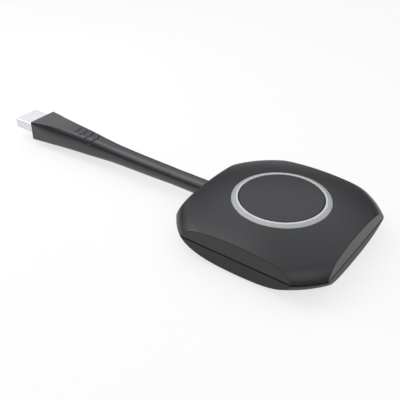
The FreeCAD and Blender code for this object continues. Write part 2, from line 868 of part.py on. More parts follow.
# Insulating tongue in the lower half of the shell, with a full-height block behind it
inside_half_width = shell_width / 2 - shell_wall - plug_tongue_gap
inside_half_height = shell_height / 2 - shell_wall - plug_tongue_gap
tongue_x = -shell_tip + tongue_recess
tongue_bottom = arm_z - inside_half_height
tongue_face = tongue_bottom + plug_tongue_thickness
block_x = shell_rear - plug_block_length
insulator = box(tongue_x, shell_rear, -inside_half_width, inside_half_width, tongue_bottom, tongue_face)
insulator = insulator.fuse(
    box(block_x, shell_rear, -inside_half_width, inside_half_width, tongue_face, arm_z + inside_half_height)
)
contacts = []
for offset, start in zip(contact_offsets, contact_from_tip):
    for side in (-1, 1):
        y = side * offset
        low_x, high_x = -shell_tip + start, block_x
        groove = box(
            low_x - bond_gap,
            high_x,
            y - contact_width / 2 - bond_gap,
            y + contact_width / 2 + bond_gap,
            tongue_face - contact_thickness,
            tongue_face + contact_thickness,
        )
        insulator = insulator.cut(groove)
        contacts.append(
            box(
                low_x,
                high_x,
                y - contact_width / 2,
                y + contact_width / 2,
                tongue_face - contact_thickness,
                tongue_face + contact_proud,
            )
        )
save("usb_tongue", insulator.removeSplitter())
save("usb_contacts", Part.makeCompound(contacts))
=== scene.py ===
import math

import bmesh
import bpy
import numpy as np
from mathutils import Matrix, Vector


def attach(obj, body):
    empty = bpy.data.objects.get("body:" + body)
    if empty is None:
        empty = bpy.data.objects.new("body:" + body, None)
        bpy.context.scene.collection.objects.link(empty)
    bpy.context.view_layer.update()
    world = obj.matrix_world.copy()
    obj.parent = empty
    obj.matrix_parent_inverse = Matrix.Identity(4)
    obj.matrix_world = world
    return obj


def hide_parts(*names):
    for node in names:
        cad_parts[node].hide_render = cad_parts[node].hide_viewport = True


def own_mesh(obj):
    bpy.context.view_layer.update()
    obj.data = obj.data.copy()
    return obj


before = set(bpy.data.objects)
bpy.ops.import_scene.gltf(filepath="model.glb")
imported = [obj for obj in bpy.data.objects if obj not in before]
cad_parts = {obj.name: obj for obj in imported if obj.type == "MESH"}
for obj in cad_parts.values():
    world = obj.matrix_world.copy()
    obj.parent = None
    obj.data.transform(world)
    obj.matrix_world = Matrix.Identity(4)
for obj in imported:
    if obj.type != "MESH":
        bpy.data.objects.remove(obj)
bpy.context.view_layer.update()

# Housing
# Two injection-moulded ABS halves, which make a shallow lens with round corners, cut on four sides by leaning
# facets. They meet in a narrow shadow gap at half height, and four screws from below hold them together.
MM = 0.001  # all sizes are in millimetres until a mesh or a node takes them
half_width = 31.1
cable_side_half = 31.8  # the facet that the cable comes out of stands further out
corner_radius = 38.4
base_z = 0.4
seam_z = 7.9
crown_top_z = 17.8
crown_radius = 112.6
crown_centre_z = crown_top_z - crown_radius
shoulder_radius = 8.5
base_radius = 27.0
upper_lean = math.radians(8.4)
lower_lean = math.radians(9.4)
facet_round = 0.45
half_gap = 0.175
gap_round = 0.18
wall = 1.8
foot_radius = 23.0
recess_radius = 23.15
foot_thickness = 1.0
ring_outer = 18.3
ring_clearance = 0.08
hole_bevel = 0.12
recess_bevel = 0.15
# The skin is found by rays, which start on a circle inside the housing at the seam. The ones next to the button's
# hole and the foot's recess land a little clear of their edges.
ray_start = 14.0
ray_length = 40.0
halvings = 40
outer_rows = 64
inner_rows = 14
columns = 560
floor_slope = -1.2
clear_of_hole = 0.02  # taken off the ray's slope
clear_under_hole = 0.97  # share of the ray's slope
clear_of_recess = 0.1
nearly_parallel = 0.9999
same_point = 0.002
sharp_edge = math.radians(35)


def linear(code):
    """sRGB hex colour to linear."""
    values = [int(code[i : i + 2], 16) / 255 for i in (1, 3, 5)]
    return [v / 12.92 if v <= 0.04045 else ((v + 0.055) / 1.055) ** 2.4 for v in values] + [1.0]


def add(tree, kind, inputs=None, **settings):
    """Adds a node with its settings, and sets or links its inputs."""
    node = tree.nodes.new(kind)
    for name, value in settings.items():
        setattr(node, name, value)
    for socket, value in (inputs or {}).items():
        if isinstance(value, bpy.types.NodeSocket):
            tree.links.new(value, node.inputs[socket])
        else:
            node.inputs[socket].default_value = value
    return node


def finish_of(name, low, high, patch, rough, grain, depth, stretch=(1, 1, 1), **surface):
    """Material whose colour wanders between two tones over patches, with a fine grain in bump and gloss.
    patch, grain and depth are in millimetres, rough is the lowest and highest roughness."""
    made = bpy.data.materials.new(name)
    made.use_nodes = True
    tree = made.node_tree
    shader = tree.nodes["Principled BSDF"]
    place = add(tree, "ShaderNodeTexCoord").outputs["Object"]
    place = add(tree, "ShaderNodeMapping", {"Vector": place, "Scale": stretch}).outputs["Vector"]
    cloud = add(tree, "ShaderNodeTexNoise", {"Vector": place, "Scale": 1 / (patch * MM), "Detail": 3.0})
    tone = add(tree, "ShaderNodeMix", {0: cloud.outputs["Fac"], 6: linear(low), 7: linear(high)}, data_type="RGBA")
    fine = add(tree, "ShaderNodeTexNoise", {"Vector": place, "Scale": 1 / (grain * MM), "Detail": 2.0})
    gloss = add(tree, "ShaderNodeMapRange", {"Value": fine.outputs["Fac"], "To Min": rough[0], "To Max": rough[1]})
    bump = add(tree, "ShaderNodeBump", {"Height": fine.outputs["Fac"], "Distance": depth * MM, "Strength": 1.0})
    tree.links.new(tone.outputs[2], shader.inputs["Base Color"])
    tree.links.new(gloss.outputs["Result"], shader.inputs["Roughness"])
    tree.links.new(bump.outputs["Normal"], shader.inputs["Normal"])
    for socket, value in surface.items():
        shader.inputs[socket.replace("_", " ")].default_value = value
    return made


def skin(name, loops, ends, material):
    """Closed mesh from loops of equal length, in millimetres. ends says how the first and last loops close:
    two centre points, or None where the last loop joins the first."""
    count = len(loops[0])
    points = np.concatenate(loops)
    faces = []
    pairs = len(loops) - 1 if ends else len(loops)
    for row in range(pairs):
        first, second = row * count, (row + 1) % len(loops) * count
        faces += [(first + i, first + (i + 1) % count, second + (i + 1) % count, second + i) for i in range(count)]
    if ends:
        points = np.concatenate([points, np.array(ends, float)])
        last = (len(loops) - 1) * count
        faces += [((i + 1) % count, i, len(points) - 2) for i in range(count)]
        faces += [(last + i, last + (i + 1) % count, len(points) - 1) for i in range(count)]
    mesh = bpy.data.meshes.new(name)
    mesh.from_pydata((points * MM).tolist(), [], faces)
    return dress(mesh, name, material)


def new_object(name, data):
    """Object with the data given, linked into the scene."""
    made = bpy.data.objects.new(name, data)
    bpy.context.scene.collection.objects.link(made)
    return made


def dress(mesh, name, material):
    """Object from a mesh: doubles merged, faces outward, smooth but for its sharp edges."""
    work = bmesh.new()
    work.from_mesh(mesh)
    bmesh.ops.remove_doubles(work, verts=work.verts, dist=same_point * MM)
    bmesh.ops.recalc_face_normals(work, faces=work.faces)
    work.to_mesh(mesh)
    work.free()
    mesh.shade_smooth()
    mesh.set_sharp_from_angle(angle=sharp_edge)
    mesh.materials.clear()
    mesh.materials.append(material)
    return new_object(name, mesh)


def cut(piece, cutters):
    """Cuts holes and drops the cutters."""
    for cutter in cutters:
        tool = piece.modifiers.new("hole", "BOOLEAN")
        tool.operation, tool.solver, tool.object = "DIFFERENCE", "EXACT", cutter
    cut_mesh = bpy.data.meshes.new_from_object(piece.evaluated_get(bpy.context.evaluated_depsgraph_get()))
    piece.modifiers.clear()
    old, piece.data = piece.data, cut_mesh
    bpy.data.meshes.remove(old)
    for cutter in cutters:
        bpy.data.objects.remove(cutter)
    piece.data.set_sharp_from_angle(angle=sharp_edge)


def rod(name, start, end, radius, sides=64):
    """Round bar between two points, in millimetres."""
    start, end = np.array(start, float), np.array(end, float)
    along = (end - start) / np.linalg.norm(end - start)
    side = np.cross(along, [0, 0, 1] if abs(along[2]) < 0.9 else [1, 0, 0])
    side /= np.linalg.norm(side)
    up = np.cross(along, side)
    turn = np.linspace(0, 2 * math.pi, sides, endpoint=False)[:, None]
    rim = radius * (np.cos(turn) * side + np.sin(turn) * up)
    return skin(name, [start + rim, end + rim], [start, end], abs_plastic)


shoulder_edge = (corner_radius, seam_z - crown_centre_z)
shoulder_reach = math.hypot(*shoulder_edge)
shoulder_arm = crown_radius - shoulder_radius
shoulder_cosine = (shoulder_reach**2 + shoulder_arm**2 - shoulder_radius**2) / (2 * shoulder_reach * shoulder_arm)
shoulder_angle = math.atan2(shoulder_edge[1], shoulder_edge[0]) + math.acos(shoulder_cosine)
shoulder_x = shoulder_arm * math.cos(shoulder_angle)
shoulder_z = crown_centre_z + shoulder_arm * math.sin(shoulder_angle)
base_rise = seam_z - base_z
base_reach = corner_radius - base_radius
base_arc = (base_reach**2 + base_rise**2) / (2 * base_rise)
base_arc_z = base_z + base_arc


def lens_gap(r, z, upper):
    """How far each point lies outside the lens, and which way is straight out of it there."""
    if upper:
        on_crown = r * (shoulder_z - crown_centre_z) < (z - crown_centre_z) * shoulder_x
        away_r = np.where(on_crown, r, r - shoulder_x)
        away_z = np.where(on_crown, z - crown_centre_z, z - shoulder_z)
        radius = np.where(on_crown, crown_radius, shoulder_radius)
    else:
        away_r = np.where(r < base_radius, 0.0, r - base_radius)
        away_z = z - base_arc_z
        radius = base_arc
    length = np.hypot(away_r, away_z)
    return length - radius, away_r / length, away_z / length


def housing_gap(points, upper):
    """How far each point lies outside the housing: the lens and the facets, with their edges rounded off."""
    x, y, z = points[..., 0], points[..., 1], points[..., 2]
    r = np.hypot(x, y)
    lens, out_r, out_z = lens_gap(r, z, upper)
    lean = upper_lean if upper else lower_lean
    rise = abs(z - seam_z)
    along = np.where(x < 0, -x - (cable_side_half - half_width), x)
    reach = np.maximum(along, abs(y))
    facet = (reach - half_width) * math.cos(lean) + rise * math.sin(lean)
    plan = reach / np.maximum(r, 1e-9)
    together = out_r * plan * math.cos(lean) + out_z * math.sin(lean) * (1 if upper else -1)
    together = np.clip(together, -1, nearly_parallel)
    a, b = lens + facet_round, facet + facet_round
    rounded = np.sqrt(np.maximum((a * a + b * b - 2 * a * b * together) / (1 - together**2), 0)) - facet_round
    beyond = (a - b * together > 0) & (b - a * together > 0)
    return np.where(beyond, rounded, np.maximum(lens, facet))


def cast(turn, slope, start_z, upper, depth=0.0):
    """Points where rays from inside the housing meet its surface, or the surface a depth below it."""
    plan = np.stack([np.cos(turn), np.sin(turn), 0 * turn], -1)
    way = plan * np.cos(slope)[..., None] + np.array([0, 0, 1.0]) * np.sin(slope)[..., None]
    start = plan * ray_start + np.array([0, 0, start_z])
    low, high = np.zeros(slope.shape), np.full(slope.shape, ray_length)
    for _ in range(halvings):
        middle = (low + high) / 2
        outside = housing_gap(start + way * middle[..., None], upper) > -depth
        high = np.where(outside, middle, high)
        low = np.where(outside, low, middle)
    return start + way * high[..., None]


def spread(low, high, count, centre, crowd, width):
    """count values from low to high, crowded round each centre."""
    grid = np.linspace(0, 1, 2001)
    values = low + (high - low) * grid[:, None]
    weight = 1 + crowd * sum(np.exp(-(((values - c) / width) ** 2)) for c in centre)
    total = np.concatenate([np.zeros((1, weight.shape[1])), np.cumsum((weight[1:] + weight[:-1]) / 2, 0)])
    total /= total[-1]
    share = np.linspace(0, 1, count)
    return np.stack([np.interp(share, total[:, i], values[:, i]) for i in range(values.shape[1])], 1)


# Columns crowd where each facet ends, because its edge is narrow there
facet_ends = []
for number, reach in enumerate((half_width, half_width, cable_side_half, half_width, half_width)):
    for side in (-1, 1):
        facet_ends.append(number * math.pi / 2 + side * math.acos(reach / corner_radius))
turns = spread(np.zeros(1), np.full(1, 2 * math.pi), columns + 1, facet_ends, crowd=6.0, width=0.03)[:-1, 0]


def edge_slope(upper, steepest):
    """Slope of the ray to the facet's edge at each turn, 0 where the round corner reaches the seam."""
    nearest = (turns + math.pi / 4) % (math.pi / 2) - math.pi / 4
    lean = upper_lean if upper else lower_lean
    out = np.where(abs(turns - math.pi) < math.pi / 4, cable_side_half, half_width)
    low, high = np.zeros(len(turns)), np.full(len(turns), abs(steepest))
    for _ in range(halvings):
        middle = (low + high) / 2
        facet_plan = np.cos(nearest) * np.cos(middle) + np.sin(middle) * math.tan(lean)
        distance = (out - ray_start * np.cos(nearest)) / facet_plan
        r = ray_start + distance * np.cos(middle)
        z = seam_z + distance * np.sin(middle) * (1 if upper else -1)
        inside = lens_gap(r, z, upper)[0] < 0
        low = np.where(inside, middle, low)
        high = np.where(inside, high, middle)
    return low


def circle(radius, z):
    """Level loop round the Z axis, with a point at each turn."""
    return np.stack([radius * np.cos(turns), radius * np.sin(turns), np.full(len(turns), z)], -1)


def crown_z(radius, drop=0.0):
    """Height of the crown at a distance from the axis, or of the surface a drop below it."""
    return crown_centre_z + math.sqrt((crown_radius - drop) ** 2 - radius**2)


def side_rows(upper, steepest, seam_side):
    """Loops of the outer skin, from the far end of its slopes down or up to the seam."""
    edge = edge_slope(upper, steepest)
    steep, level = np.full(len(turns), abs(steepest)), np.zeros(len(turns))
    slopes = spread(steep, level, outer_rows, [edge], crowd=7.0, width=0.035)
    sign = 1 if upper else -1
    loops = [cast(turns, sign * row, seam_side + sign * gap_round, upper) for row in slopes]
    last = cast(turns, 0 * turns, seam_side, upper)
    last[:, :2] *= 1 - gap_round / np.hypot(last[:, 0], last[:, 1])[:, None]
    return loops + [last]


def inner_loops(upper, steepest, seam_side):
    """Loops of the inner wall, from the seam to the far end of its slopes."""
    slopes = np.linspace(0, steepest, inner_rows)
    return [cast(turns, np.full(len(turns), slope), seam_side, upper, wall) for slope in slopes]


# The plastic is charcoal ABS from a finely eroded tool: a satin sheen that spreads every highlight. The real
# grain is about 0.1 mm, drawn at 0.3 mm so that it shows.
abs_plastic = finish_of("charcoal_abs_satin", "#1b1b1d", "#1e1e20", 14.0, (0.32, 0.4), 0.3, 0.004, IOR=1.54)
# The lower half comes from a mould with a deeper, matt texture of 0.5 mm, which hides scratches. Its pits shade
# each other, so it shines less than flat ABS would, and its specular level is lowered for that.
abs_matt = finish_of(
    "charcoal_abs_matt", "#1a1a1c", "#1d1d1f", 14.0, (0.5, 0.6), 0.5, 0.01, IOR=1.54, Specular_IOR_Level=0.32
)

hole_radius = ring_outer + ring_clearance
top_seam = seam_z + half_gap
hole_slope = math.atan2(crown_z(hole_radius) - top_seam - gap_round, hole_radius - ray_start)
top_loops = [circle(hole_radius, crown_z(hole_radius) - hole_bevel)]
top_loops += [circle(hole_radius + hole_bevel, crown_z(hole_radius + hole_bevel))]
top_loops += side_rows(True, hole_slope - clear_of_hole, top_seam)
hole_under = circle(hole_radius, crown_z(hole_radius, wall))
under_slope = math.atan2(hole_under[0, 2] - top_seam, hole_radius - ray_start)
top_loops += inner_loops(True, under_slope * clear_under_hole, top_seam) + [hole_under]
upper_half = skin("upper_housing", top_loops, None, abs_plastic)

base_seam = seam_z - half_gap
base_run = recess_radius + recess_bevel + clear_of_recess - ray_start
base_slope = -math.atan2(base_seam - gap_round - base_z, base_run)
base_loops = [circle(recess_radius, foot_thickness), circle(recess_radius, base_z + recess_bevel)]
base_loops += [circle(recess_radius + recess_bevel, base_z)] + side_rows(False, base_slope, base_seam)
base_loops += inner_loops(False, floor_slope, base_seam)
lower_half = skin("lower_housing", base_loops, [(0, 0, foot_thickness), (0, 0, base_z + wall)], abs_matt)

# Counterbores for the screws, and the hole that the cable comes through
post_reach = 20.0
counterbore_top = 2.6
counterbore_radius = 2.25
below_base = -2.0
arm_z = 7.5
cable_hole_radius = 3.6
cable_hole = ((-40.0, 0, arm_z), (-26.0, 0, arm_z), cable_hole_radius)
bores = []
for x in (-post_reach, post_reach):
    for y in (-post_reach, post_reach):
        bores.append(rod(f"bore_{len(bores)}", (x, y, below_base), (x, y, counterbore_top), counterbore_radius))
cut(lower_half, bores + [rod("hole_low", *cable_hole)])
cut(upper_half, [rod("hole_high", *cable_hole)])
for half, node in ((upper_half, "top_shell"), (lower_half, "bottom_shell")):
    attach(half, "housing")
    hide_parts(node)

# Rubber foot
# One round pad of closed-cell rubber, die-cut from sheet and bonded into a shallow recess in the lower half.
# It carries the whole weight and stops the puck from sliding on a table.
foot_bevel = 0.3
turned_steps = 256
turn_radius = 1.0  # of the circle that a turned piece's profile is swept round


def shaping_tree(name, inputs, result):
    """Empty geometry tree with an input socket for each label and kind, and one socket for its result."""
    tree = bpy.data.node_groups.new(name, "GeometryNodeTree")
    for label, kind in inputs.items():
        tree.interface.new_socket(label, in_out="INPUT", socket_type="NodeSocket" + kind)
    tree.interface.new_socket(result, in_out="OUTPUT", socket_type="NodeSocketGeometry")
    return tree


def settle(piece, tree, values, material):
    """Runs the tree on the piece with the values given, and keeps its result as a plain mesh."""
    shaping = piece.modifiers.new(tree.name, "NODES")
    shaping.node_group = tree
    for socket in tree.interface.items_tree:
        if socket.name in values:
            shaping[socket.identifier] = values[socket.name]
    made = bpy.data.meshes.new_from_object(piece.evaluated_get(bpy.context.evaluated_depsgraph_get()))
    name = piece.name
    bpy.data.objects.remove(piece)
    return dress(made, name, material)


def turned_part(name, profile, material):
    """Piece with the profile, points (distance from the axis, height) in millimetres, turned round the Z axis."""
    mesh = bpy.data.meshes.new(name)
    rim = [(r - turn_radius, -z, 0) for r, z in profile]
    mesh.from_pydata((np.array(rim) * MM).tolist(), [(i, i + 1) for i in range(len(rim) - 1)], [])
    piece = new_object(name, mesh)
    tree = shaping_tree("turn_profile", {"Profile": "Geometry", "Path radius": "Float", "Steps": "Int"}, "Piece")
    given = add(tree, "NodeGroupInput").outputs
    rim = add(tree, "GeometryNodeMeshToCurve", {"Mesh": given["Profile"]}).outputs["Curve"]
    path = {"Resolution": given["Steps"], "Radius": given["Path radius"]}
    path = add(tree, "GeometryNodeCurvePrimitiveCircle", path).outputs["Curve"]
    swept = add(tree, "GeometryNodeCurveToMesh", {"Curve": path, "Profile Curve": rim}).outputs["Mesh"]
    swept = add(tree, "GeometryNodeMergeByDistance", {"Geometry": swept, "Distance": same_point * MM}).outputs[0]
    swept = add(tree, "GeometryNodeRealizeInstances", {"Geometry": swept}).outputs[0]
    swept = add(tree, "GeometryNodeSetMaterial", {"Geometry": swept, "Material": material}).outputs[0]
    add(tree, "NodeGroupOutput", {"Piece": swept})
    return settle(piece, tree, {"Path radius": turn_radius * MM, "Steps": turned_steps}, material)


# Black closed-cell rubber: matt, with fine open pores where the sheet was split. Pores of 0.15 mm, drawn at
# 0.5 mm so that they show.
foot_rubber = finish_of("black_cell_rubber", "#151515", "#1b1b1b", 6.0, (0.75, 0.9), 0.5, 0.02, IOR=1.52)
# Its lower edge is rounded in two steps, which meet at 0.3 of the bevel
foot_profile = [(0, 0), (foot_radius - foot_bevel, 0)]
foot_profile += [(foot_radius - foot_bevel * 0.3, foot_bevel * 0.3), (foot_radius, foot_bevel)]
foot_profile += [(foot_radius, foot_thickness), (0, foot_thickness)]
foot = turned_part("foot_pad", foot_profile, foot_rubber)
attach(foot, "housing")
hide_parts("rubber_foot")

# Case screws
# Four self-tapping steel screws with pan heads and cross recesses, zinc plated black. They go up through the
# lower posts and the board, and sit in counterbores beside the foot.
head_radius = 2.0
head_sides = 48
head_low = 1.2
head_high = 2.6
core_radius = 1.0
core_sides = 32
screw_tip = 11.6
head_round = 0.35
recess_length = 2.4
recess_width = 0.55
recess_depth = 0.9

# Steel under black zinc: dark metal with a soft gloss, dimpled at 0.25 mm by the plating.
screw_steel = finish_of("black_zinc_steel", "#2e2e31", "#3a3a3d", 2.0, (0.3, 0.42), 0.25, 0.003, Metallic=1.0)
wanted = {
    "Spacing": 2 * post_reach,
    "Head radius": head_radius,
    "Head height": head_high - head_low,
    "Edge round": head_round,
    "Core radius": core_radius,
    "Core length": screw_tip - head_high,
    "Recess length": recess_length,
    "Recess width": recess_width,
    "Recess depth": recess_depth,
}
tree = shaping_tree("case_screws", {name: "Float" for name in wanted}, "Screws")
given = add(tree, "NodeGroupInput").outputs
# From the bottom up: the head's bevelled edge, its straight side, then the core
less_edge = {}
for size in ("Head height", "Head radius"):
    terms = {0: given[size], 1: given["Edge round"]}
    less_edge[size] = add(tree, "ShaderNodeMath", terms, operation="SUBTRACT").outputs[0]
lift = {}
for part, length, below in (
    ("head", less_edge["Head height"], given["Edge round"]),
    ("core", given["Core length"], given["Head height"]),
):
    middle = add(tree, "ShaderNodeMath", {0: length, 1: 0.5, 2: below}, operation="MULTIPLY_ADD").outputs[0]
    lift[part] = add(tree, "ShaderNodeCombineXYZ", {"Z": middle}).outputs[0]
barrel = {"Vertices": head_sides, "Radius": given["Head radius"], "Depth": less_edge["Head height"]}
barrel = add(tree, "GeometryNodeMeshCylinder", barrel)
barrel = add(tree, "GeometryNodeTransform", {"Geometry": barrel.outputs["Mesh"], "Translation": lift["head"]})
bevel = {"Vertices": head_sides, "Radius Bottom": less_edge["Head radius"], "Radius Top": given["Head radius"]}
bevel = add(tree, "GeometryNodeMeshCone", bevel | {"Depth": given["Edge round"]})
core = {"Vertices": core_sides, "Radius": given["Core radius"], "Depth": given["Core length"]}
core = add(tree, "GeometryNodeMeshCylinder", core)
core = add(tree, "GeometryNodeTransform", {"Geometry": core.outputs["Mesh"], "Translation": lift["core"]})
head = add(tree, "GeometryNodeMeshBoolean", operation="UNION", solver="EXACT")
tree.links.new(barrel.outputs["Geometry"], head.inputs["Mesh 2"])
tree.links.new(bevel.outputs["Mesh"], head.inputs["Mesh 2"])
# Each block of the cross is centred on the head's lower face, so it is twice as deep as the recess
double_depth = add(tree, "ShaderNodeMath", {0: given["Recess depth"], 1: 2.0}, operation="MULTIPLY").outputs[0]
cross = add(tree, "GeometryNodeMeshBoolean", {"Mesh 1": head.outputs["Mesh"]}, operation="DIFFERENCE", solver="EXACT")
for across, along in (("Recess length", "Recess width"), ("Recess width", "Recess length")):
    block = add(tree, "ShaderNodeCombineXYZ", {"X": given[across], "Y": given[along], "Z": double_depth})
    block = add(tree, "GeometryNodeMeshCube", {"Size": block.outputs[0]})
    tree.links.new(block.outputs["Mesh"], cross.inputs["Mesh 2"])
screw = add(tree, "GeometryNodeJoinGeometry")
tree.links.new(cross.outputs["Mesh"], screw.inputs["Geometry"])
tree.links.new(core.outputs["Geometry"], screw.inputs["Geometry"])
places = {"Size X": given["Spacing"], "Size Y": given["Spacing"], "Vertices X": 2, "Vertices Y": 2}
places = add(tree, "GeometryNodeMeshGrid", places)
row = {"Points": places.outputs["Mesh"], "Instance": screw.outputs["Geometry"]}
row = add(tree, "GeometryNodeInstanceOnPoints", row)
row = add(tree, "GeometryNodeTransform", {"Geometry": row.outputs["Instances"], "Translation": (0, 0, head_low * MM)})
row = add(tree, "GeometryNodeRealizeInstances", {"Geometry": row.outputs["Geometry"]})
row = add(tree, "GeometryNodeSetMaterial", {"Geometry": row.outputs["Geometry"], "Material": screw_steel})
add(tree, "NodeGroupOutput", {"Screws": row.outputs["Geometry"]})
screws = new_object("pan_screws", bpy.data.meshes.new("pan_screws"))
screws = settle(screws, tree, {name: size * MM for name, size in wanted.items()}, screw_steel)
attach(screws, "housing")
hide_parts("case_screws")

# Circuit board and its parts
# A four-layer glass-epoxy board in green solder mask, clamped between the screw posts. Machines place and solder
# its chips, lamps, shield can and antennas; the processor's heat goes down into an aluminium plate.


def paint(node, material):
    """Gives a CAD node's object its finish."""
    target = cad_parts[node]
    target.data.materials.clear()
    target.data.materials.append(material)


# Solder mask over glass cloth: a thin glossy green lacquer, in which the weave shows faintly at 0.6 mm.
board_green = finish_of("green_solder_mask", "#0d3a22", "#114529", 5.0, (0.28, 0.4), 0.6, 0.01, IOR=1.55)
# Epoxy moulded in an eroded tool: dull black, with a grain of 0.15 mm.
chip_black = finish_of("black_moulded_epoxy", "#161617", "#1c1c1d", 1.5, (0.55, 0.7), 0.15, 0.004, IOR=1.55)
# Tinned sheet: grey metal, its reflections clouded by the tin's crystals of 0.4 mm.
tinned_steel = finish_of("tinned_sheet_steel", "#a8a69f", "#b6b4ac", 3.0, (0.25, 0.38), 0.4, 0.003, Metallic=1.0)
# Rolled aluminium: pale and soft in its shine, with lines along the rolling direction, 0.3 mm apart.
plate_aluminium = finish_of(
    "rolled_aluminium", "#c4c4c6", "#d0d0d2", 4.0, (0.3, 0.45), 0.3, 0.003, (0.08, 1, 1), Metallic=1.0
)
# Silicone filled with ceramic powder: matt, blue-grey, with grains of 0.3 mm.
thermal_pad = finish_of("filled_silicone_pad", "#51606f", "#5d6d7c", 1.0, (0.7, 0.85), 0.3, 0.01, IOR=1.41)
# Clear silicone with phosphor over each lamp's chip: pale yellow and smooth.
lamp_resin = finish_of("phosphor_silicone", "#e8dfa6", "#efe8bb", 0.5, (0.2, 0.3), 0.2, 0.002, IOR=1.41)
# Polycarbonate filled with white pigment: even and bright, so it throws the lamps' light up into the ring.
white_chamber = finish_of("white_filled_plastic", "#dadad8", "#e2e2e0", 5.0, (0.5, 0.62), 0.3, 0.004, IOR=1.58)
paint("main_board", board_green)
for node in ("processor_chip", "memory_chips", "radio_chip"):
    paint(node, chip_black)
for node in ("shield_can", "clock_crystal", "antennas"):
    paint(node, tinned_steel)
paint("heat_spreader", plate_aluminium)
paint("thermal_pad", thermal_pad)
paint("ring_lamps", lamp_resin)
paint("light_chamber", white_chamber)

# Light ring
# A milky polycarbonate moulding round the button. Lamps on the board light it from below through its skirt, and
# a flange under the housing's skin holds it down. Its inner edge is cut to a narrow bevel with a painted highlight.
ring_inner = 15.84
ring_drop = 0.15
ring_lift = 0.35
ring_bevel = 0.2
edge_ease = 0.06
# width of the band at the inner edge that carries the painted highlight
painted_highlight_width = 0.62
bevel_steps = 6
flange_outer = 20.35
flange_clearance = 0.3
guide_inner = 16.1
guide_bottom = 9.0
flange_thickness = 1.0
flange_top = crown_z(flange_outer, wall) - flange_clearance
ring_top = crown_z(ring_inner, ring_drop) + ring_lift
ring_low = crown_z(ring_outer - edge_ease, ring_drop)
band = ring_outer - edge_ease - ring_inner - ring_bevel
flange_low = flange_top - flange_thickness


def quarter(steps):
    """Cosine and sine at even steps through a quarter turn."""
    angles = [math.radians(90 / steps * step) for step in range(steps + 1)]
    return [(math.cos(angle), math.sin(angle)) for angle in angles]


ring_profile = [(ring_inner, flange_low)]
for cosine, sine in quarter(bevel_steps):
    ring_profile.append((ring_inner + ring_bevel * (1 - cosine), ring_top - ring_bevel * (1 - sine)))
for share in (0.25, 0.5, 0.75, 1.0):
    ring_profile.append((ring_inner + ring_bevel + share * band, ring_top + share * (ring_low - ring_top)))
ring_profile += [(ring_outer, ring_low - edge_ease), (ring_outer, flange_top), (flange_outer, flange_top)]
ring_profile += [(flange_outer, flange_low), (ring_outer, flange_low), (ring_outer, guide_bottom)]
ring_profile += [(guide_inner, guide_bottom), (guide_inner, flange_low), (ring_inner, flange_low)]
# Diffusing polycarbonate: milky through its body and satin on top, with a grain of 0.3 mm. Light spreads about
# 1 mm in it, which softens its shading.
ring_milk = finish_of(
    "milky_polycarbonate", "#adadac", "#b3b3b2", 6.0, (0.3, 0.38), 0.3, 0.002, IOR=1.585,
    Subsurface_Weight=0.3, Subsurface_Scale=1.0 * MM,
)
ring = turned_part("diffuser_ring", ring_profile, ring_milk)
# The lip at the inner edge is polished, and its lighter colour is a painted highlight for the sheen it catches.
painted_lip_highlight = finish_of("polished_lip_painted_highlight", "#cfd0d1", "#d5d6d7", 6.0, (0.22, 0.28), 0.3, 0.001, IOR=1.585)
ring.data.materials.append(painted_lip_highlight)
# Upward faces within that band of the inner edge get the lighter colour, a painted highlight
for face in ring.data.polygons:
    if math.hypot(face.center.x, face.center.y) < (ring_inner + painted_highlight_width) * MM and face.normal.z > 0.5:
        face.material_index = 1
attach(ring, "housing")
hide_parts("light_ring")

# Button cap
# One domed ABS cap inside the ring, which continues the housing's crown. A skirt guides it, three hooks hold it in
# the light chamber, and a stem pushes the switch.
button_radius = 15.55
button_drop = 0.2
button_edge = 0.3
edge_steps = 8
edge_below_ring = 0.05
dome_steps = 40
dome_start = 0.3  # from the edge's round to the dome's first point
skirt_inner = 14.35
skirt_length = 3.1
plate_thickness = 1.5
stem_radius = 2.6
stem_low = 12.05
cap_top = 17.59
dome_reach = button_radius - button_edge
skirt_low = crown_z(button_radius, button_drop) - skirt_length
cap_under = crown_z(dome_reach, button_drop) - plate_thickness
edge_top = ring_top - edge_below_ring
edge_low = edge_top - button_edge
dome_radius = (dome_reach**2 + (cap_top - edge_top) ** 2) / (2 * (cap_top - edge_top))
# The cap is of the same satin ABS as the housing, from its own cavity, a shade lighter.
cap_plastic = finish_of("charcoal_abs_cap", "#1c1c1e", "#1f1f21", 14.0, (0.32, 0.4), 0.3, 0.004, IOR=1.54)
cap_profile = [(0, stem_low), (stem_radius, stem_low), (stem_radius, cap_under), (skirt_inner, cap_under)]
cap_profile += [(skirt_inner, skirt_low), (button_radius, skirt_low)]
for cosine, sine in quarter(edge_steps):
    cap_profile.append((dome_reach + button_edge * cosine, edge_low + button_edge * sine))
for r in np.linspace(dome_reach - dome_start, 0, dome_steps):
    cap_profile.append((r, cap_top - dome_radius + math.sqrt(dome_radius**2 - r**2)))
cap = turned_part("domed_button", cap_profile, cap_plastic)
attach(cap, "button")
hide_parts("button_cap")

# Push switch
# A bought switch soldered to the middle of the board: a black moulded body, a stamped cover, a plunger, and a
# bent leaf under it, which snaps flatter as the plunger comes down and gives the press its click.
leaf_half = 2.05
leaf_low = 7.8
leaf_high = 9.64
leaf_thickness = 0.15
leaf_width = 2.0
leaf_steps = 24
leaf_fullness = 0.8

# Glass-filled nylon: matt black, with a grain of 0.2 mm.
switch_black = finish_of("black_switch_nylon", "#1b1b1c", "#212122", 2.0, (0.4, 0.55), 0.2, 0.003, IOR=1.53)
# Stainless strip, stamped and bent: bright, with lines along the strip, 0.2 mm apart.
stamped_steel = finish_of(
    "stamped_steel", "#b4b3b0", "#bdbcb9", 2.0, (0.25, 0.4), 0.2, 0.003, (0.15, 1, 1), Metallic=1.0
)
for node in ("switch_body", "switch_plunger"):
    paint(node, switch_black)
paint("switch_cover", stamped_steel)
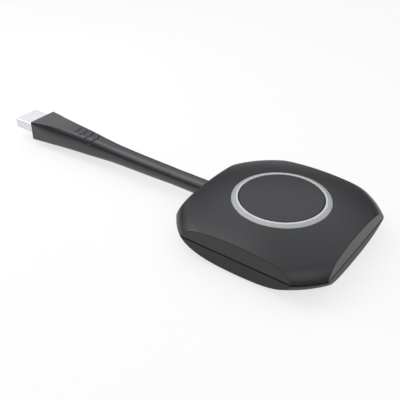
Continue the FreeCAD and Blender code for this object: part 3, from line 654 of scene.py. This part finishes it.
# The leaf is an arch on the switch's floor. At full press it keeps 0.7 of its height, and stays under the plunger.
leaf_loops = []
for step in range(leaf_steps + 1):
    turn_up = math.pi * step / leaf_steps
    out = -math.cos(turn_up)
    rise = math.sin(turn_up) ** leaf_fullness
    loop = []
    for y, drop in ((-1, 0), (1, 0), (1, 1), (-1, 1)):
        x = out * (leaf_half - drop * leaf_thickness)
        z = leaf_low + (leaf_high - leaf_low - drop * leaf_thickness) * rise
        loop.append((x, y * leaf_width / 2, z))
    leaf_loops.append(np.array(loop))
leaf_ends = [leaf_loops[0].mean(0), leaf_loops[-1].mean(0)]
leaf = skin("snap_leaf", leaf_loops, leaf_ends, stamped_steel)
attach(leaf, "housing")
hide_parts("switch_spring")
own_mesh(leaf)

# Cable
# A short stiff lead, 6.9 mm thick, with a soft PVC jacket over its shield and cores. A block moulded on its inner
# end is clamped in the housing, and four flat leads go on to a plug and socket under the board.
cable_radius = 3.45
cable_ends = (-25.03, -112.0)

# Extruded PVC, a satin black. The die leaves lines along it, 0.1 mm apart, drawn at 0.4 mm so that they show. A
# thin film of plasticiser on the surface makes it shine more, and its specular level is raised for that.
jacket_pvc = finish_of(
    "satin_pvc_jacket", "#1f1e21", "#222124", 8.0, (0.28, 0.36), 0.4, 0.003, (0.05, 1, 1),
    IOR=1.54, Specular_IOR_Level=0.7,
)
line = bpy.data.curves.new("lead", "CURVE")
line.dimensions = "3D"
line.bevel_depth = cable_radius * MM
line.bevel_resolution = 12
line.use_fill_caps = True
spline = line.splines.new("NURBS")
spline.points.add(2)
for point, x in zip(spline.points, (cable_ends[0], sum(cable_ends) / 2, cable_ends[1])):
    point.co = (x * MM, 0, arm_z * MM, 1)
spline.order_u = 3
spline.use_endpoint_u = True
spline.resolution_u = 8
line.materials.append(jacket_pvc)
lead = new_object("lead", line)
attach(lead, "housing")
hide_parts("cable")

# Unfilled nylon: ivory and satin, with a grain of 0.2 mm.
socket_nylon = finish_of("ivory_nylon", "#d6d0bb", "#ddd8c5", 2.0, (0.4, 0.55), 0.2, 0.003, IOR=1.53)
# Vinyl drawn over stranded wire: soft black, with lines along it, 0.3 mm apart.
lead_vinyl = finish_of("black_lead_vinyl", "#1d1d1e", "#232324", 2.0, (0.4, 0.5), 0.3, 0.003, (0.1, 1, 1), IOR=1.54)
paint("cable_anchor", jacket_pvc)
paint("lead_plug", socket_nylon)
paint("board_socket", socket_nylon)
paint("inner_leads", lead_vinyl)

# Plug boot
# A soft elastomer moulding over the plug's hard inner part. From the plug's flat rectangle it runs into the round
# of the cable, and four curved grooves across it give the fingers a grip.
boot_face = -127.8
# Stations along the arm: x, height of the flat top, half width, half width of the flat top, height at which the
# upright side starts, height of the underside, and the two radii of its lower corners. Heights are measured from
# the arm's middle line. The last two numbers say how sharp the top's and the side's edges are, as the first and
# last angle of the bevel's ellipse.
stations = np.array(
    [
        (-127.8, 4.2, 7.20, 6.6, 3.4, -4.70, 0.6, 0.6, 8, 82),
        (-124.0, 4.35, 6.95, 6.2, 2.2, -4.62, 0.9, 0.8, 57, 75),
        (-118.0, 4.65, 6.55, 5.0, 0.4, -4.50, 1.4, 1.2, 42, 76),
        (-112.0, 4.8, 6.16, 4.1, -0.3, -4.38, 1.9, 1.6, 30, 78),
        (-106.0, 4.8, 5.76, 3.4, -0.8, -4.25, 2.4, 1.8, 18, 80),
        (-98.0, 4.65, 5.15, 2.5, -1.2, -4.14, 3.0, 1.8, 5, 85),
        (-90.0, 4.35, 4.55, 1.4, -1.4, -4.10, 3.3, 2.4, 0, 88),
        (-80.0, 3.9, 3.95, 0.6, -0.6, -4.02, 3.6, 3.2, 0, 90),
        (-64.0, 3.62, 3.70, 0.1, -0.3, -3.85, 3.6, 3.5, 0, 90),
        (-50.0, 3.47, 3.47, 0.1, 0.0, -3.47, 3.37, 3.47, 0, 90),
    ]
)
# Rounds of smoothing on each section: the least, and how many more where the grooves are
soften_least = 4
soften_more = 8
soften_at = -103.0
soften_reach = 10.0
face_round = 0.35
face_steps = 6
least_bevel = 0.1
pocket_depth = 1.2
pocket_room = 0.05
# The grooves are arcs, each wider than the last, set a little to the near side of the arm's middle
groove_first = -103.3
groove_pitch = 3.9
groove_count = 4
groove_radius = 3.6
groove_half_span = 1.7
groove_span_step = 0.45
groove_off_centre = -0.8
groove_width = 0.6
groove_flat = 0.35  # share of it that is flat floor
groove_depth = 0.42
shell_half = (6.0, 2.25)
shell_corner = 0.6


def eased(at, places, values):
    """Smooth curve through the values, with no overshoot between them."""
    run = np.diff(places)
    slope = np.diff(values) / run
    tilt = np.zeros(len(values))
    tilt[0], tilt[-1] = slope[0], slope[-1]
    same = slope[1:] * slope[:-1] > 0
    tilt[1:-1] = np.where(same, 2 * slope[1:] * slope[:-1] / np.where(same, slope[1:] + slope[:-1], 1), 0)
    i = min(max(np.searchsorted(places, at) - 1, 0), len(run) - 1)
    t = (at - places[i]) / run[i]
    start = values[i] * (1 + 2 * t) * (1 - t) ** 2 + tilt[i] * run[i] * t * (1 - t) ** 2
    return start + values[i + 1] * t * t * (3 - 2 * t) + tilt[i + 1] * run[i] * t * t * (t - 1)


def across_arm(x, outline):
    """The outline's y and z, measured from the arm's middle line, as points at x."""
    return np.column_stack([np.full(len(outline), x), outline[:, 0], outline[:, 1] + arm_z])


def bend(centre, radii, first, last, steps):
    """Points on an ellipse, between two angles in degrees from upright, without the last."""
    angles = np.radians(np.linspace(first, last, steps, endpoint=False))
    return np.column_stack([centre[0] + radii[0] * np.sin(angles), centre[1] + radii[1] * np.cos(angles)])


def straight(first, last, steps):
    """Points on a line, without the last."""
    return np.array(first) + (np.array(last) - np.array(first)) * np.linspace(0, 1, steps, endpoint=False)[:, None]


def boot_section(x, inset=0.0):
    """The boot's outline at x: a flat top, beveled sides that turn upright, and rounded lower corners."""
    top, wide, flat, side, low, low_y, low_z, first, last = (
        eased(x, stations[:, 0], stations[:, i]) for i in range(1, 10)
    )
    top, wide, low, flat = top - inset, wide - inset, low + inset, min(flat, wide - inset - least_bevel)
    a, b = math.radians(first), math.radians(last)
    bevel_y = (wide - flat) / (math.sin(b) - math.sin(a))
    bevel_z = (top - side) / (math.cos(a) - math.cos(b))
    centre = (flat - bevel_y * math.sin(a), side - bevel_z * math.cos(b))
    lower = (wide - low_y, low + low_z)
    half = [straight((0, top), (flat, top), steps=24)]
    half += [bend(centre, (bevel_y, bevel_z), first, last, steps=48)]
    half += [straight((wide, side), (wide, lower[1]), steps=10)]
    half += [bend(lower, (low_y, low_z), 90, 180, steps=16), straight((lower[0], low), (0, low), steps=30)]
    half = np.concatenate(half)
    mirrored = np.array([[0.0, low]] + [(-y, z) for y, z in half[:0:-1]])
    outline = np.concatenate([half, mirrored])
    more = soften_more * math.exp(-(((x - soften_at) / soften_reach) ** 2))
    for _ in range(round(soften_least + more)):
        outline = (np.roll(outline, 1, 0) + 2 * outline + np.roll(outline, -1, 0)) / 4
    return across_arm(x, outline)


def rounded_outline(half_wide, half_high, corner):
    """Rounded rectangle across the arm, with as many points as the boot has."""
    wide, high = half_wide - corner, half_high - corner
    half = [straight((0, half_high), (wide, half_high), steps=36)]
    half += [bend((wide, high), (corner, corner), 0, 90, steps=16)]
    half += [straight((half_wide, high), (half_wide, -high), steps=30)]
    half += [bend((wide, -high), (corner, corner), 90, 180, steps=16)]
    half += [straight((wide, -half_high), (0, -half_high), steps=30)]
    half = np.concatenate(half)
    return np.concatenate([half, [[0.0, -half_high]], half[:0:-1] * (-1, 1)])


boot_rows = []
for cosine, sine in quarter(face_steps):
    boot_rows.append(boot_section(boot_face, face_round * (1 - sine)))
    boot_rows[-1][:, 0] = boot_face + face_round * (1 - cosine)
# Sections lie close together where the grooves will be pressed in
close_gap = 0.1
grip_start = groove_first - 4.5
grip_end = groove_first + groove_pitch * (groove_count - 1) + 1.0
boot_end = stations[-1, 0]
places = [np.linspace(boot_face + face_round + 0.3, grip_start, num=30, endpoint=False)]
places += [np.arange(grip_start, grip_end, close_gap), np.linspace(grip_end, boot_end - close_gap, num=50)]
boot_rows += [boot_section(x) for x in np.concatenate(places)]
boot_rows.append(boot_section(boot_end, inset=0.02))
# The pocket in its face, which the plug's shell goes into
pocket = rounded_outline(shell_half[0] + pocket_room, shell_half[1] + pocket_room, shell_corner)
boot_rows = [across_arm(boot_face + pocket_depth, pocket), across_arm(boot_face, pocket)] + boot_rows

# Thermoplastic elastomer, a soft satin with a faint mauve cast. Its skin has a grain of 0.1 mm, drawn at 0.3 mm so
# that it shows. Oil in the elastomer comes to the surface, and its specular level is raised for that film.
boot_soft = finish_of(
    "satin_elastomer", "#201e22", "#232125", 9.0, (0.28, 0.35), 0.3, 0.003, IOR=1.5, Specular_IOR_Level=0.75
)
boot = skin("grip_boot", boot_rows, [(boot_face + pocket_depth, 0, arm_z), (boot_end, 0, arm_z)], boot_soft)

wanted = {
    "First groove": groove_first * MM,
    "Pitch": groove_pitch * MM,
    "Grooves": float(groove_count),
    "Radius": groove_radius * MM,
    "Half span": groove_half_span * MM,
    "Span step": groove_span_step * MM,
    "Width": groove_width * MM,
    "Depth": groove_depth * MM,
    "Off centre": groove_off_centre * MM,
    "Middle height": arm_z * MM,
}
tree = shaping_tree("grip_grooves", {"Boot": "Geometry"} | {name: "Float" for name in wanted}, "Grooved")
given = add(tree, "NodeGroupInput").outputs
place = add(tree, "ShaderNodeSeparateXYZ", {0: add(tree, "GeometryNodeInputPosition").outputs[0]}).outputs
# One Math node a line: its name, what it does, and its terms. Every arc is moved back to a straight line, so that
# the nearest groove follows from the distance along the arm.
values = {name: given[name] for name in wanted} | {axis: place[axis] for axis in "XYZ"}
for name, operation, *terms in (
    ("across", "SUBTRACT", "Y", "Off centre"),
    ("across squared", "MULTIPLY", "across", "across"),
    ("radius squared", "MULTIPLY", "Radius", "Radius"),
    ("chord squared", "SUBTRACT", "radius squared", "across squared"),
    ("chord squared", "MAXIMUM", "chord squared", 1e-9),
    ("chord", "SQRT", "chord squared"),
    ("straight x", "ADD", "X", "Radius"),
    ("straight x", "SUBTRACT", "straight x", "chord"),
    ("from first", "SUBTRACT", "straight x", "First groove"),
    ("along", "DIVIDE", "from first", "Pitch"),
    ("last", "SUBTRACT", "Grooves", 1.0),
    ("nearest", "ROUND", "along"),
    ("nearest", "MINIMUM", "nearest", "last"),
    ("nearest", "MAXIMUM", "nearest", 0.0),
    ("pitches off", "SUBTRACT", "along", "nearest"),
    ("off line", "MULTIPLY", "pitches off", "Pitch"),
    ("off line", "ABSOLUTE", "off line"),
    ("lean", "DIVIDE", "chord", "Radius"),
    ("off line", "MULTIPLY", "off line", "lean"),
    ("span", "MULTIPLY_ADD", "nearest", "Span step", "Half span"),
    ("past end", "ABSOLUTE", "across"),
    ("past end", "SUBTRACT", "past end", "span"),
    ("past end", "MAXIMUM", "past end", 0.0),
    ("past end squared", "MULTIPLY", "past end", "past end"),
    ("from groove", "MULTIPLY_ADD", "off line", "off line", "past end squared"),
    ("from groove", "SQRT", "from groove"),
    ("half groove", "MULTIPLY", "Width", 0.5),
    ("groove floor", "MULTIPLY", "half groove", groove_flat),
    ("on top", "GREATER_THAN", "Z", "Middle height"),
):
    terms = {i: values.get(term, term) for i, term in enumerate(terms)}
    values[name] = add(tree, "ShaderNodeMath", terms, operation=operation).outputs[0]
ramp = {"Value": values["from groove"], "From Min": values["half groove"], "From Max": values["groove floor"]}
ramp |= {"To Min": 0.0, "To Max": given["Depth"]}
pressed = add(tree, "ShaderNodeMapRange", ramp, interpolation_type="SMOOTHSTEP").outputs[0]
pressed = add(tree, "ShaderNodeMath", {0: pressed, 1: values["on top"]}, operation="MULTIPLY").outputs[0]
normal = add(tree, "GeometryNodeInputNormal").outputs[0]
inward = add(tree, "ShaderNodeVectorMath", {0: normal, "Scale": -1.0}, operation="SCALE").outputs[0]
inward = add(tree, "ShaderNodeVectorMath", {0: inward, "Scale": pressed}, operation="SCALE")
shaped = add(tree, "GeometryNodeSetPosition", {"Geometry": given["Boot"], "Offset": inward.outputs[0]})
shaped = add(tree, "GeometryNodeRealizeInstances", {"Geometry": shaped.outputs["Geometry"]})
shaped = add(tree, "GeometryNodeSetMaterial", {"Geometry": shaped.outputs["Geometry"], "Material": boot_soft})
add(tree, "NodeGroupOutput", {"Grooved": shaped.outputs["Geometry"]})
boot = settle(boot, tree, wanted, boot_soft)
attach(boot, "housing")
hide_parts("plug_boot")

# Plug
# A folded steel shell, nickel plated, round a black tongue with four gold-flashed contacts. Two latch windows are
# punched in its underside, and a hard white inner moulding holds it in the boot.
shell_tip = -139.4
shell_rear = -121.0
shell_wall = 0.3
mouth_ease = 0.08
mouth_inside = 0.15
mouth_outside = 0.1
window_size = 2.2
window_depth = 1.4
window_start = 5.2
window_offset = 2.9

# Bright nickel over cold-rolled steel: white reflections, drawn lines along the plug from the folding tool. The
# lines are 0.05 mm apart, drawn at 0.25 mm.
plated_steel = finish_of(
    "nickel_plated_steel", "#d9d4d9", "#dfdbdf", 3.0, (0.16, 0.26), 0.25, 0.002, (0.04, 1, 1), Metallic=1.0
)
# Round the wall's section: the inside from the rear, the mouth's eased edge, and the outside back to the rear
shell_rows = []
for x, inset in (
    (shell_rear, shell_wall),
    (shell_tip + mouth_inside, shell_wall),
    (shell_tip, shell_wall - mouth_ease),
    (shell_tip, mouth_ease),
    (shell_tip + mouth_outside, 0.0),
    (shell_rear, 0.0),
):
    shell_rows.append(
        across_arm(x, rounded_outline(shell_half[0] - inset, shell_half[1] - inset, shell_corner - inset))
    )
shell = skin("steel_shell", shell_rows, None, plated_steel)
windows = []
for name, side in (("window_near", -1), ("window_far", 1)):
    near, far = shell_tip + window_start, shell_tip + window_start + window_size
    low, high = side * window_offset - window_size / 2, side * window_offset + window_size / 2
    floor_z = arm_z - shell_half[1]
    loops = []
    for z in (floor_z - window_depth / 2, floor_z + window_depth / 2):
        loops.append(np.array([(near, low, z), (far, low, z), (far, high, z), (near, high, z)]))
    windows.append(skin(name, loops, [loop.mean(0) for loop in loops], plated_steel))
cut(shell, windows)
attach(shell, "housing")
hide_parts("usb_shell")

# Glass-filled polyester: matt black, with a grain of 0.2 mm.
tongue_black = finish_of("black_tongue_polyester", "#19191a", "#1f1f20", 2.0, (0.4, 0.55), 0.2, 0.003, IOR=1.57)
# Gold flash over nickel: warm and bright, with lines along the contacts, 0.15 mm apart.
gold_flash = finish_of("gold_flash", "#d9a94e", "#e0b25a", 0.8, (0.18, 0.28), 0.15, 0.001, (0.1, 1, 1), Metallic=1.0)
# Hard polyethylene, off-white and satin, with a grain of 0.2 mm.
mould_white = finish_of("white_inner_mould", "#cfcfca", "#d6d6d1", 3.0, (0.4, 0.55), 0.2, 0.003, IOR=1.5)
paint("usb_tongue", tongue_black)
paint("usb_contacts", gold_flash)
# The mould's sections: x, half width and half height
mould_sizes = ((-126.6, 6.4, 2.65), (-121.5, 6.3, 2.6), (-117.5, 5.0, 2.6), (-112.0, 4.0, 2.6))
mould_corner = 0.5
mould_rows = [across_arm(x, rounded_outline(wide, high, mould_corner)) for x, wide, high in mould_sizes]
mould_ends = [(mould_sizes[i][0], 0, arm_z) for i in (0, -1)]
mould = skin("inner_mould", mould_rows, mould_ends, mould_white)
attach(mould, "housing")
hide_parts("plug_inner_mould")

# Studio
# A plain pale table and soft light from large panels, with the camera at the photograph's viewing angle. The table
# looks white to the camera and keeps the object's soft shadow.
view_azimuth = math.radians(36.34)
view_elevation = math.radians(33.70)
view_place = (0.08915, -0.17096, 0.14256)
table_white = 0.72
table_half = 2.0
table_z = -0.01
room_tint = (0.98, 1.0, 1.05)  # a little cool

# The camera sees white above the table's edge. Reflections see the room: dark lower walls up to 15 degrees, as
# the photograph's edges show, and lighter towards the ceiling. The places are sines of the height angle.
studio = bpy.data.worlds.new("studio")
bpy.context.scene.world = studio
studio.use_nodes = True
tree = studio.node_tree
tree.nodes.clear()
rays = add(tree, "ShaderNodeLightPath").outputs
height = add(tree, "ShaderNodeSeparateXYZ", {0: add(tree, "ShaderNodeTexCoord").outputs["Generated"]}).outputs["Z"]
ramp = add(tree, "ShaderNodeValToRGB", {"Fac": height})
for place, level in ((0.26, 0.03), (0.43, 0.4), (0.57, 0.88), (0.7, 1.0), (0.82, 1.0), (0.92, 0.8)):
    stop = ramp.color_ramp.elements.new(place)
    stop.color = [level * tint for tint in room_tint] + [1.0]
ramp.color_ramp.elements.remove(ramp.color_ramp.elements[0])
ramp.color_ramp.elements.remove(ramp.color_ramp.elements[-1])
room = add(tree, "ShaderNodeBackground", {"Color": ramp.outputs["Color"], "Strength": 1.0})
white = add(tree, "ShaderNodeBackground", {"Color": (1, 1, 1, 1), "Strength": 1.0})
seen = add(tree, "ShaderNodeMixShader", {0: rays["Is Camera Ray"], 1: room.outputs[0], 2: white.outputs[0]})
add(tree, "ShaderNodeOutputWorld", {"Surface": seen.outputs[0]})

# White paper on the table: matt, its tone clouded over about 17 mm. To the camera, to reflections and through clear
# parts it glows white by 72%, and the rest is the paper itself, with the object's shadow.
table = bpy.data.materials.new("pale_table")
table.use_nodes = True
tree = table.node_tree
paper = tree.nodes["Principled BSDF"]
paper.inputs["Roughness"].default_value = 0.9
place = add(tree, "ShaderNodeTexCoord").outputs["Object"]
fibre = add(tree, "ShaderNodeTexNoise", {"Vector": place, "Scale": 60.0})
tone = {0: fibre.outputs["Fac"], 6: linear("#f6f6f6"), 7: linear("#fafafa")}
tone = add(tree, "ShaderNodeMix", tone, data_type="RGBA")
tree.links.new(tone.outputs[2], paper.inputs["Base Color"])
rays = add(tree, "ShaderNodeLightPath").outputs
shown = add(tree, "ShaderNodeMath", {0: rays["Is Camera Ray"], 1: rays["Is Glossy Ray"]}, operation="MAXIMUM")
shown = add(tree, "ShaderNodeMath", {0: shown.outputs[0], 1: rays["Is Transmission Ray"]}, operation="MAXIMUM")
share = add(tree, "ShaderNodeMath", {0: shown.outputs[0], 1: table_white}, operation="MULTIPLY")
bright = add(tree, "ShaderNodeEmission", {"Color": (1, 1, 1, 1), "Strength": 1.0})
both = add(tree, "ShaderNodeMixShader", {0: share.outputs[0], 1: paper.outputs[0], 2: bright.outputs[0]})
tree.links.new(both.outputs[0], tree.nodes["Material Output"].inputs["Surface"])
floor_mesh = bpy.data.meshes.new("table")
floor_corners = [(x * table_half, y * table_half, table_z * MM) for x, y in ((-1, -1), (1, -1), (1, 1), (-1, 1))]
floor_mesh.from_pydata(floor_corners, [], [(0, 1, 2, 3)])
floor_mesh.materials.append(table)
floor = new_object("table", floor_mesh)


def panel(name, place, aim, size, power):
    """Soft light from a rectangular panel, aimed at a point."""
    light = bpy.data.lights.new(name, "AREA")
    light.shape = "RECTANGLE"
    light.size, light.size_y = size
    light.energy = power
    lamp = new_object(name, light)
    lamp.location = place
    lamp.rotation_mode = "QUATERNION"
    lamp.rotation_quaternion = (Vector(place) - Vector(aim)).to_track_quat("Z", "Y")
    lamp.visible_camera = False


# One panel is behind, for the far edges, a small one at the plug, and one over the arm, for its long highlight. A
# large one in front lights the facets. All are weak, because the room gives most of the light.
panel("back_panel", (-0.39, 0.74, 0.58), (0, 0, 0.017), (0.7, 0.6), 0.42)
panel("plug_panel", (-0.23, 0.074, 0.068), (-0.13, 0, 0.01), (0.06, 0.06), 0.0086)
panel("arm_panel", (-0.245, -0.05, 0.236), (-0.08, 0, 0.01), (0.18, 0.42), 0.39)
panel("front_panel", (0.75, -0.5, 0.8), (0, 0, 0.01), (0.9, 0.9), 1.2)

sight = bpy.data.cameras.new("camera")
sight.lens = 56.886
sight.sensor_width = 36.0
camera = new_object("camera", sight)
level = math.cos(view_elevation)
backwards = (math.sin(view_azimuth) * level, -math.cos(view_azimuth) * level, math.sin(view_elevation))
camera.location = view_place
camera.rotation_mode = "QUATERNION"
camera.rotation_quaternion = Vector(backwards).to_track_quat("Z", "Y")
bpy.context.scene.camera = camera
bpy.context.scene.view_settings.view_transform = "Standard"
